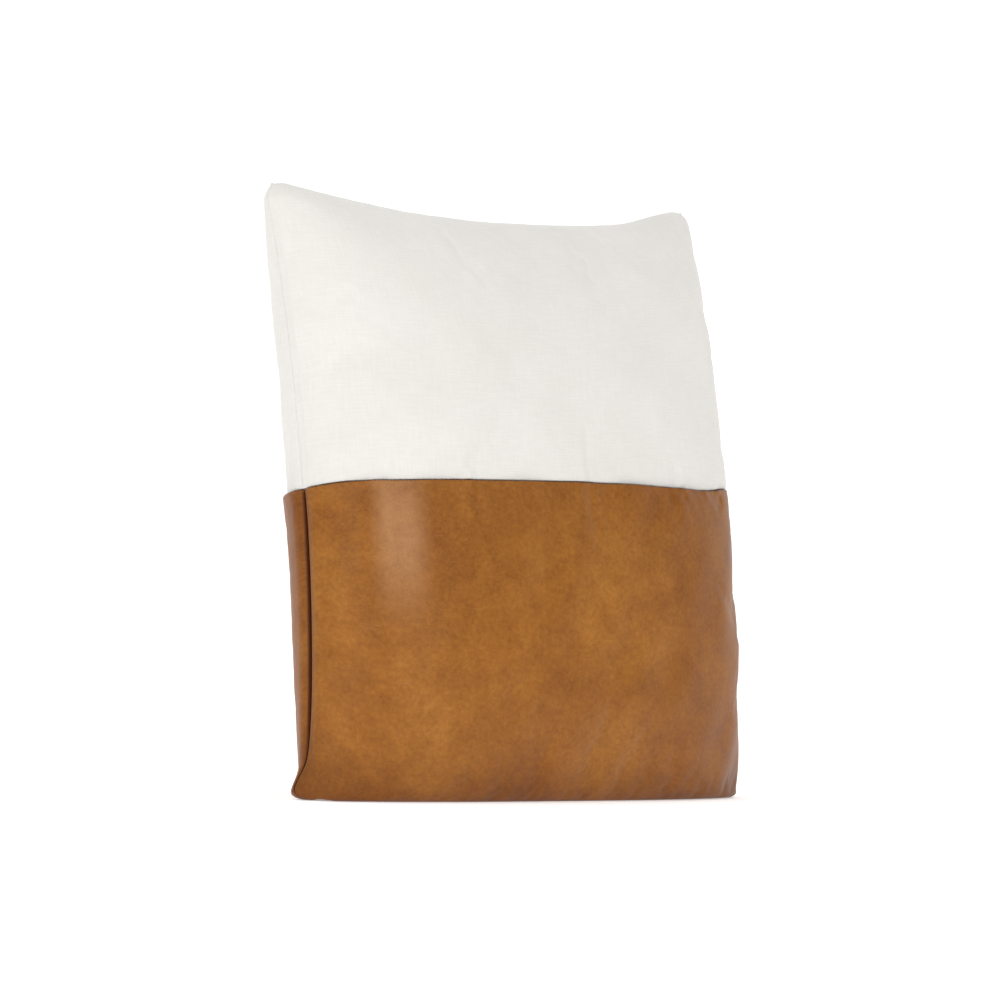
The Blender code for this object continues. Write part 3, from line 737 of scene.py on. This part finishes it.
def brass_material():
    mat, nt, bsdf = new_material("antique_brass_metal")
    k = Net(nt)
    tc = k.node("ShaderNodeTexCoord").outputs["Object"]
    n = k.noise(tc, 520.0, 5.0, 0.65)
    fine = k.noise(k.mapped(tc, scale=(1, 8, 8)), 900.0, 2.0, 0.5)
    k.link(k.ramp(n, [(0.25, srgb(92, 66, 36)), (0.55, srgb(150, 116, 66)), (0.85, srgb(182, 146, 88))]),
           bsdf.inputs["Base Color"])
    bsdf.inputs["Metallic"].default_value = 1.0
    k.link(k.math("ADD", k.math("MULTIPLY", n, 0.25), k.math("MULTIPLY_ADD", fine, 0.12, 0.18)),
           bsdf.inputs["Roughness"])
    k.link(k.bump(fine, 0.12, 0.00005), bsdf.inputs["Normal"])
    return mat


def lining_material():
    mat, nt, bsdf = new_material("insert_percale")
    k = Net(nt)
    tc = k.node("ShaderNodeTexCoord").outputs["Object"]
    sep = k.node("ShaderNodeSeparateXYZ")
    k.link(tc, sep.inputs[0])
    sx = k.math("SINE", k.math("MULTIPLY", sep.outputs["X"], math.pi / 0.0006))
    sz = k.math("SINE", k.math("MULTIPLY", sep.outputs["Z"], math.pi / 0.0006))
    weave = k.math("MULTIPLY_ADD", k.math("MULTIPLY", sx, sz), 0.5, 0.5)
    n = k.noise(tc, 30.0, 3.0, 0.5)
    k.link(k.ramp(n, [(0.3, srgb(232, 230, 224)), (0.7, srgb(244, 243, 239))]), bsdf.inputs["Base Color"])
    k.link(k.ramp(n, [(0.2, g(0.95)), (0.9, g(0.85))]), bsdf.inputs["Roughness"])
    k.link(k.bump(weave, 0.4, 0.0001), bsdf.inputs["Normal"])
    bsdf.inputs["Sheen Weight"].default_value = 0.2
    return mat


def fibre_material():
    mat, nt, bsdf = new_material("polyester_fibre")
    k = Net(nt)
    tc = k.node("ShaderNodeTexCoord").outputs["Object"]
    n = k.noise(tc, 220.0, 8.0, 0.75, 1.5)
    k.link(k.ramp(n, [(0.3, srgb(226, 226, 222)), (0.7, srgb(250, 250, 248))]), bsdf.inputs["Base Color"])
    k.link(k.ramp(n, [(0.2, g(1.0)), (0.9, g(0.9))]), bsdf.inputs["Roughness"])
    k.link(k.bump(n, 0.8, 0.002), bsdf.inputs["Normal"])
    bsdf.inputs["Sheen Weight"].default_value = 0.5
    return mat


COTTON, LEATHER = cotton_material(), leather_material()
BROWN = yarn_material("brown_thread_yarn", srgb(96, 52, 24), srgb(40, 20, 8))
WHITE = yarn_material("white_thread_yarn", srgb(238, 236, 230), srgb(200, 196, 188))
TAPE, COIL, BRASS, LINING, FIBRE = (tape_material(), coil_material(), brass_material(),
                                    lining_material(), fibre_material())

# -------------------------------------------------------------------- panels
PANELS = {}
for side, word in ((-1, "front"), (1, "back")):
    for half, mat in (("upper", COTTON), ("lower", LEATHER)):
        node = "%s_%s_panel" % (word, half)
        obj, info = panel(node + "_cloth", side, half, mat)
        PANELS[node] = (obj, info)
        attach(obj, "pillow")
        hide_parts(node)


def tube(name, path, radius, material, sides=8, closed=False):
    """A round strand along path, its ends closed flat."""
    path = np.asarray(path, float)
    n = len(path)
    tangent = np.gradient(path, axis=0)
    tangent /= np.linalg.norm(tangent, axis=1, keepdims=True)
    ref = np.array([0.0, 1.0, 0.0]) if abs(tangent[0][1]) < 0.9 else np.array([1.0, 0, 0])
    frames = []
    e = np.cross(tangent[0], ref)
    e /= np.linalg.norm(e)
    for tan in tangent:
        e = e - tan * np.dot(e, tan)
        e /= np.linalg.norm(e)
        frames.append((e, np.cross(tan, e)))
    radii = np.full(n, radius) if np.isscalar(radius) else np.asarray(radius)
    verts, faces = [], []
    for p, (e1, e2), r in zip(path, frames, radii):
        for s in range(sides):
            q = 2 * math.pi * s / sides
            verts.append(p + r * (math.cos(q) * e1 + math.sin(q) * e2))
    for i in range(n - 1):
        for s in range(sides):
            s2 = (s + 1) % sides
            faces.append((i * sides + s, i * sides + s2, (i + 1) * sides + s2, (i + 1) * sides + s))
    faces.append(tuple(range(sides))[::-1])
    faces.append(tuple((n - 1) * sides + s for s in range(sides)))
    return verts, faces


def mesh_object(name, parts, material, smooth_shade=True, angle=40):
    verts, faces = [], []
    for v, f in parts:
        base = len(verts)
        verts.extend([tuple(p) for p in v])
        faces.extend([tuple(i + base for i in q) for q in f])
    mesh = bpy.data.meshes.new(name)
    mesh.from_pydata(verts, [], faces)
    bm = bmesh.new()
    bm.from_mesh(mesh)
    bmesh.ops.recalc_face_normals(bm, faces=bm.faces)
    bm.to_mesh(mesh)
    bm.free()
    mesh.materials.append(material)
    if smooth_shade:
        mesh.shade_smooth()
        mesh.set_sharp_from_angle(angle=math.radians(angle))
    obj = bpy.data.objects.new(name, mesh)
    bpy.context.scene.collection.objects.link(obj)
    return obj


def piece(obj, body, nodes):
    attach(obj, body)
    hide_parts(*nodes)
    return obj


# --------------------------------------------------------------- waist threads
for side, word in ((-1, "front"), (1, "back")):
    up, low = PANELS[word + "_upper_panel"][1], PANELS[word + "_lower_panel"][1]
    n_pts = 1500
    cols = np.linspace(0, 1, n_pts)

    def along(info):
        c = info["cols"] / info["cols"][-1]
        return (np.stack([np.interp(cols, c, info["p"][:, 0, i]) for i in range(3)], -1),
                np.stack([np.interp(cols, c, info["n"][:, 0, i]) for i in range(3)], -1))

    (pu, nu), (pl, nl) = along(up), along(low)
    mid = (pu + pl) / 2
    nn = nu + nl
    nn /= np.linalg.norm(nn, axis=1, keepdims=True)
    length = np.concatenate([[0], np.cumsum(np.linalg.norm(np.diff(mid, axis=0), axis=1))])
    dip = 0.00105 + 0.00055 * np.cos(2 * math.pi * length / 0.0030)
    keep = (length > 0.008) & (length < length[-1] - 0.008)
    path = (mid - nn * dip[:, None])[keep]
    obj = mesh_object(word + "_waist_thread", [tube("t", path, 0.00024, BROWN, 6)], BROWN)
    piece(obj, "pillow", [word + "_waist_stitching"])

# ---------------------------------------------------------- edge seam's thread


def seam_line(depth, zipped, inset, floor, cut, start_u, wave):
    us = np.linspace(start_u, 1.0, 60) if start_u < 1 else np.array([1.0])
    vs = np.concatenate([np.linspace(-1, 1, 900)])
    uv = [(u, -1.0) for u in us[:-1]] + [(1.0, v) for v in vs]
    uv += [(u, 1.0) for u in np.linspace(1, -1, 900)[1:]]
    uv += [(-1.0, v) for v in vs[::-1][1:]] + [(-u, -1.0) for u in us[::-1][1:]]
    u, v = np.array(uv).T
    kw = dict(inset=inset, floor=floor, cut=cut, zipped=zipped)
    mid = (ground(u, v, -1, **kw)[0] + ground(u, v, 1, **kw)[0]) / 2 + SHIFT
    length = np.concatenate([[0], np.cumsum(np.linalg.norm(np.diff(mid, axis=0), axis=1))])
    deep = depth + wave * np.cos(2 * math.pi * length / 0.003)
    keep = np.concatenate([[True], np.diff(length) > 1e-6])
    return (mid + edge_move(u, v, zipped, 1.0) * deep[:, None])[keep]


obj = mesh_object("edge_seam_thread", [tube("t", seam_line(0.0060, True, 0, 0, 0, 0.980, 0.0004), 0.0002, BROWN, 5)], BROWN)
piece(obj, "pillow", ["side_seam_stitching"])
obj = mesh_object("insert_seam_thread", [tube("t", seam_line(0.0030, False, 0.0135, 0.0175, 0.0065, 0.62, 0.0004), 0.0002, WHITE, 5)], WHITE)
piece(obj, "pillow", ["insert_seam_stitching"])

# -------------------------------------------------------------------- insert
for side, word in ((-1, "front"), (1, "back")):
    a = np.linspace(-1, 1, 111)
    t = np.linspace(-1, 1, 111)
    u = u_of(a)[:, None] + 0 * t
    v = (np.sign(t) * eased(np.abs(t)))[None, :] + 0 * u
    p, rise = ground(u, v, side, inset=0.0140, cut=0.0070, floor=0.0178, zipped=False)
    p = p + SHIFT
    n = grid_normals(p)
    n *= np.sign(n[55, 40, 1] * side)
    crumple = make_noise(12, 0.03, 0.09, 21 + side)
    p = p + n * (0.0009 * crumple(p[..., 0], p[..., 2]) * smooth(rise, 0.003, 0.02) - 0.0009 * smooth(rise, 0.003, 0.02))[..., None]
    p[..., 2] = np.maximum(p[..., 2], 0.0176)
    idx = np.arange(p.shape[0] * p.shape[1]).reshape(p.shape[:2])
    cut = np.stack([u, v, 0 * u], -1) * 0.25
    if side < 0:
        q, cc, uu, vv = p, cut, u, v
    else:
        q, cc, uu, vv = p[:, ::-1], cut[:, ::-1], u[:, ::-1], v[:, ::-1]
    border = np.concatenate([idx[:, 0], idx[-1, 1:], idx[-2::-1, -1], idx[0, -2:0:-1]])
    bp, bu, bv = q.reshape(-1, 3)[border], uu.ravel()[border], vv.ravel()[border]
    loops = [(bp + edge_move(bu, bv, False, d), np.array([0.0, 0.0, d])) for d in (0.002, 0.0055)]
    obj, _ = shell_object("insert_%s_ticking" % word, q, loops, 0.0005, cc, LINING)
    piece(obj, "pillow", ["insert_%s_cover" % word])

a = np.linspace(-1, 1, 97)
u = u_of(a)[:, None] + 0 * a
v = u_of(a)[None, :] + 0 * u
lump = [make_noise(16, 0.015, 0.06, 31), make_noise(16, 0.015, 0.06, 32)]
faces_pts = []
for k, side in enumerate((-1, 1)):
    p, rise = ground(u, v, side, inset=0.0220, cut=0.0105, floor=0.0248, zipped=False)
    p = p + SHIFT
    n = grid_normals(p)
    n *= np.sign(n[48, 30, 1] * side)
    p = p + n * (0.0008 * lump[k](p[..., 0], p[..., 2]) - 0.0010)[..., None] * smooth(rise, 0.003, 0.02)[..., None]
    p[..., 2] = np.maximum(p[..., 2], 0.0247)
    faces_pts.append(p)
m = len(a)
rim = (faces_pts[0] + faces_pts[1]) / 2
index = np.arange(m * m).reshape(m, m)
verts = list(np.where(((np.arange(m)[:, None] % (m - 1) == 0) | (np.arange(m)[None, :] % (m - 1) == 0))[..., None], rim, faces_pts[0]).reshape(-1, 3))
back_index = index.copy()
for i in range(1, m - 1):
    for j in range(1, m - 1):
        back_index[i, j] = len(verts)
        verts.append(faces_pts[1][i, j])
faces = []
for i in range(m - 1):
    for j in range(m - 1):
        faces.append((index[i, j], index[i + 1, j], index[i + 1, j + 1], index[i, j + 1]))
        faces.append((back_index[i, j], back_index[i, j + 1], back_index[i + 1, j + 1], back_index[i + 1, j]))
obj = mesh_object("insert_fibre", [(verts, [tuple(int(x) for x in f) for f in faces])], FIBRE, angle=180)
piece(obj, "pillow", ["insert_filling"])

# -------------------------------------------------------------------- zipper
MM = 0.001
for side, word in ((-1, "front"), (1, "back")):
    # tape: a woven strip that lies under the coil and turns up along the allowance
    xs = np.linspace(-0.203, 0.203, 407)
    prof = [(0.55, 8.1), (1.6, 8.08), (2.9, 8.1), (3.7, 8.15), (4.1, 8.35), (4.2, 8.8), (4.2, 11.0), (4.2, 14.5),
            (3.7, 14.5), (3.7, 11.0), (3.7, 9.0), (3.6, 8.7), (2.9, 8.6), (1.6, 8.6), (0.55, 8.6)]
    verts, faces = [], []
    n_p = len(prof)
    for i, xx in enumerate(xs):
        wob = 0.04 * math.sin(xx * 260) + 0.03 * math.sin(xx * 610 + side)
        for y, z in prof:
            verts.append((xx, SEAM_Y + side * y * MM, (z + (wob if z > 12 else 0)) * MM))
    for i in range(len(xs) - 1):
        for j in range(n_p):
            j2 = (j + 1) % n_p
            faces.append((i * n_p + j, i * n_p + j2, (i + 1) * n_p + j2, (i + 1) * n_p + j))
    faces.append(tuple(range(n_p)))
    faces.append(tuple((len(xs) - 1) * n_p + j for j in range(n_p))[::-1])
    obj = mesh_object("zip_tape_%s_woven" % word, [(verts, faces)], TAPE, angle=35)
    piece(obj, "pillow", ["zipper_tape_" + word])
    # coil: one nylon filament wound into an oval helix
    turns = int(0.372 / 0.00150)
    q = np.linspace(0, turns * 2 * math.pi, turns * 14 + 1)
    cx = np.linspace(-0.1855, 0.1855, len(q))
    cy = SEAM_Y + side * (1.40 + 0.62 * np.cos(q)) * MM
    cz = (9.90 + 0.62 * np.sin(q)) * MM
    obj = mesh_object("zip_coil_%s_wound" % word,
                      [tube("c", np.stack([cx, cy, cz], -1), 0.00023, COIL, 6)], COIL)
    piece(obj, "pillow", ["zipper_coil_" + word])
    xs = np.linspace(-0.201, 0.201, 1200)
    path = np.stack([xs, SEAM_Y + side * (3.25 + 0.10 * np.cos(2 * math.pi * xs / 0.003)) * MM, 0 * xs + 13.6 * MM], -1)
    obj = mesh_object("tape_thread_" + word, [tube("t", path, 0.0002, BROWN, 5)], BROWN)
    piece(obj, "pillow", ["tape_stitching_" + word])


def plate(outline, z0, z1, bevel):
    """A flat piece with this outline of (x, y) points, its edges rounded."""
    bm = bmesh.new()
    low = [bm.verts.new((x, y, z0)) for x, y in outline]
    face = bm.faces.new(low)
    got = bmesh.ops.extrude_face_region(bm, geom=[face])
    for v in [e for e in got["geom"] if isinstance(e, bmesh.types.BMVert)]:
        v.co.z = z1
    bmesh.ops.recalc_face_normals(bm, faces=bm.faces)
    if bevel:
        edges = [e for e in bm.edges if len(e.link_faces) == 2 and e.calc_face_angle() > 0.9]
        bmesh.ops.bevel(bm, geom=edges, offset=bevel, segments=3, profile=0.5, affect="EDGES")
    bm.verts.index_update()
    out = ([tuple(v.co) for v in bm.verts], [tuple(v.index for v in f.verts) for f in bm.faces])
    bm.free()
    return out


def box_part(low, high, bevel=0.12):
    (x0, y0, z0), (x1, y1, z1) = [[c * MM for c in q] for q in (low, high)]
    return plate([(x0, y0), (x1, y0), (x1, y1), (x0, y1)], z0, z1, bevel * MM)


def shield(nose, wide, tail, n=10):
    """Outline of a slider plate: round shoulders in front, drawn in behind."""
    pts = []
    for i in range(n + 1):
        q = -math.pi / 2 + math.pi * i / n
        pts.append((nose - 1.6 + 1.6 * math.cos(q), (wide - 0.0) * math.sin(q)))
    pts += [(nose - 5.0, wide), (tail + 1.2, wide * 0.86), (tail + 0.4, wide * 0.80), (tail, wide * 0.62)]
    pts += [(tail, -wide * 0.62), (tail + 0.4, -wide * 0.80), (tail + 1.2, -wide * 0.86), (nose - 5.0, -wide)]
    return [(x * MM, y * MM) for x, y in pts]


parts = [plate(shield(6.0, 3.2, -6.0), 6.3 * MM, 7.3 * MM, 0.22 * MM),
         plate(shield(6.0, 3.2, -6.0), 11.2 * MM, 12.2 * MM, 0.22 * MM),
         box_part((2, -0.25, 7.0), (5, 0.25, 11.5), 0.05),
         box_part((-5.4, -2.75, 10.5), (3.6, -2.62, 11.4), 0.02), box_part((-5.4, 2.62, 10.5), (3.6, 2.75, 11.4), 0.02),
         box_part((-5.0, -2.75, 7.1), (3.6, -2.62, 7.75), 0.02), box_part((-5.0, 2.62, 7.1), (3.6, 2.75, 7.75), 0.02)]
arch = []
for i in range(25):
    q = math.pi * i / 24
    arch.append((2.95 * math.cos(q), 0.0, 6.55 - 2.30 * math.sin(q) ** 0.55))
arch = np.array(arch) * MM
rad = np.full(len(arch), 0.42 * MM)
rad[0] = rad[-1] = 0.6 * MM
parts.append(tube("a", arch, rad, BRASS, 10))
slider = mesh_object("zip_slider_body", parts, BRASS, angle=32)
slider.data.transform(Matrix.Translation((SLIDER_X, SEAM_Y, 0)))
piece(slider, "slider", ["zipper_slider"])

# the pull: an eye that runs through the bail, and a rounded tab
tab = []
for i in range(13):
    q = math.pi / 2 + math.pi * i / 12
    tab.append((-15.7 + 2.3 * math.cos(q), 2.35 * math.sin(q)))
tab += [(-12.0, -2.35), (-7.2, -2.05), (-5.6, -1.95), (-5.2, -1.2), (-5.2, 1.2), (-5.6, 1.95), (-7.2, 2.05), (-12.0, 2.35)]
parts = [plate([(x * MM, y * MM) for x, y in tab], -0.40 * MM, 0.40 * MM, 0.16 * MM)]
eye = []
for i in range(33):
    q = 2 * math.pi * i / 32
    eye.append((-2.95 + 2.95 * np.sign(math.cos(q)) * abs(math.cos(q)) ** 0.55,
                1.82 * np.sign(math.sin(q)) * abs(math.sin(q)) ** 0.55, 0.0))
eye = np.array(eye) * MM
parts.append(tube("e", eye, 0.38 * MM, BRASS, 10))
rim_path = []
for i in range(41):
    q = 2 * math.pi * i / 40
    rim_path.append((-12.2 + 4.2 * math.cos(q), 1.35 * math.sin(q), 0.40))
parts.append(tube("r", np.array(rim_path) * MM, 0.10 * MM, BRASS, 6))
pull = mesh_object("zip_pull_tab", parts, BRASS, angle=32)
pull.data.transform(Matrix.Translation((SLIDER_X, SEAM_Y, HINGE_Z)))
piece(pull, "pull", ["zipper_pull"])

# the stops: clamped metal staples, rounded
for word, side in (("front", -1), ("back", 1)):
    y0, y1 = sorted((side * 0.55, side * 2.35))
    obj = mesh_object("zip_top_stop_%s_clamp" % word,
                      [plate([(x * MM, SEAM_Y + y * MM) for x, y in
                              ((186.4, y0), (189.2, y0), (189.2, y1), (186.4, y1))], 9.0 * MM, 11.0 * MM, 0.35 * MM)], BRASS, angle=32)
    piece(obj, "pillow", ["zipper_top_stop_" + word])
obj = mesh_object("zip_bottom_stop_clamp",
                  [plate([(x * MM, SEAM_Y + y * MM) for x, y in
                          ((-189.2, -2.3), (-186.4, -2.3), (-186.4, 2.3), (-189.2, 2.3))], 9.0 * MM, 11.0 * MM, 0.35 * MM)], BRASS, angle=32)
piece(obj, "pillow", ["zipper_bottom_stop"])

# ---------------------------------------------------------------- the studio
stage_mat, nt, bsdf = new_material("studio_paper")
k = Net(nt)
paper = k.noise(k.node("ShaderNodeTexCoord").outputs["Object"], 3.0, 2.0, 0.5)
k.link(k.ramp(paper, [(0.0, g(0.955)), (1.0, g(0.965))]), bsdf.inputs["Base Color"])
bsdf.inputs["Roughness"].default_value = 0.95
bsdf.inputs["Specular IOR Level"].default_value = 0.0
bsdf.inputs["Emission Color"].default_value = (1.0, 1.0, 1.0, 1.0)
bsdf.inputs["Emission Strength"].default_value = 0.34
line = [(-6.0, 0.0)] + [(3.0 + 1.5 * math.sin(q), 1.5 - 1.5 * math.cos(q)) for q in np.linspace(0, math.pi / 2, 24)] + [(4.5, 5.0)]
verts, faces = [], []
AZ = math.radians(-41.39471)
back_dir = np.array([-math.sin(AZ), math.cos(AZ), 0.0])
across = np.array([math.cos(AZ), math.sin(AZ), 0.0])
for w in (-9.0, 9.0):
    for along_, up_ in line:
        verts.append(tuple(back_dir * along_ + across * w + np.array([0, 0, up_ - 0.0002])))
n_l = len(line)
for i in range(n_l - 1):
    faces.append((i, i + 1, n_l + i + 1, n_l + i))
floor_obj = mesh_object("studio_sweep", [(verts, faces)], stage_mat, angle=180)

world = bpy.data.worlds.new("studio")
bpy.context.scene.world = world
world.use_nodes = True
world.node_tree.nodes["Background"].inputs["Color"].default_value = (1.0, 1.0, 1.0, 1.0)
world.node_tree.nodes["Background"].inputs["Strength"].default_value = 0.36


def area(name, where, target, size, power, colour=(1, 1, 1)):
    data = bpy.data.lights.new(name, "AREA")
    data.shape = "RECTANGLE"
    data.size, data.size_y = size
    data.energy = power
    data.color = colour
    obj = bpy.data.objects.new(name, data)
    bpy.context.scene.collection.objects.link(obj)
    obj.location = where
    direction = Vector(target) - Vector(where)
    obj.rotation_euler = direction.to_track_quat("-Z", "Y").to_euler()
    return obj


def softbox(name, azimuth, elevation, distance, size, radiance, colour=(1, 1, 1)):
    """A rectangular light at this bearing from the pillow; azimuth 0 is in front of it."""
    az, el = math.radians(azimuth), math.radians(elevation)
    where = Vector((math.sin(az) * math.cos(el), -math.cos(az) * math.cos(el), math.sin(el))) * distance
    return area(name, where + Vector((0, 0, 0.24)), (0, 0, 0.24), size,
                radiance * math.pi * size[0] * size[1], colour)


softbox("key", -69, 24, 3.0, (1.5, 1.5), 2.35)
softbox("front", -11, 17, 2.8, (0.36, 1.5), 5.5)
softbox("back", 165, 35, 3.4, (1.8, 1.8), 0.65)
sun_data = bpy.data.lights.new("overhead", "SUN")
sun_data.energy = 0.36 * math.pi
sun_data.angle = math.radians(100)
sun = bpy.data.objects.new("overhead", sun_data)
bpy.context.scene.collection.objects.link(sun)
front_data = bpy.data.lights.new("backdrop_wash", "SUN")
front_data.energy = 0.05 * math.pi
front_data.angle = math.radians(60)
front_sun = bpy.data.objects.new("backdrop_wash", front_data)
front_sun.rotation_euler = (math.radians(75), 0, AZ)
bpy.context.scene.collection.objects.link(front_sun)

# ---------------------------------------------------------------- the camera
EL, ROLL, DIST = math.radians(-0.61593), math.radians(1.38139), 4.8759
TARGET = Vector((0.0 + SHIFT[0], 0.040 + SHIFT[1], 0.240))
forward = Vector((-math.sin(AZ) * math.cos(EL), math.cos(AZ) * math.cos(EL), -math.sin(EL)))
right = Vector((math.cos(AZ), math.sin(AZ), 0.0))
up = right.cross(forward)
c, s = math.cos(ROLL), math.sin(ROLL)
right_r = right * c + up * s
up_r = up * c - right * s
cam_data = bpy.data.cameras.new("photo_view")
cam = bpy.data.objects.new("photo_view", cam_data)
bpy.context.scene.collection.objects.link(cam)
rot = Matrix((right_r, up_r, -forward)).transposed()
cam.matrix_world = Matrix.Translation(TARGET - forward * DIST) @ rot.to_4x4()
cam_data.sensor_width = 36.0
cam_data.lens = 1275.558 * DIST * 36.0 / 1000.0 / 1.0
cam_data.shift_x = (500 - 494.93) / 1000
cam_data.shift_y = -(500 - 489.66) / 1000
cam_data.clip_end = 60.0
bpy.context.scene.camera = cam
bpy.context.scene.view_settings.view_transform = "Standard"
bpy.context.scene.view_settings.look = "None"
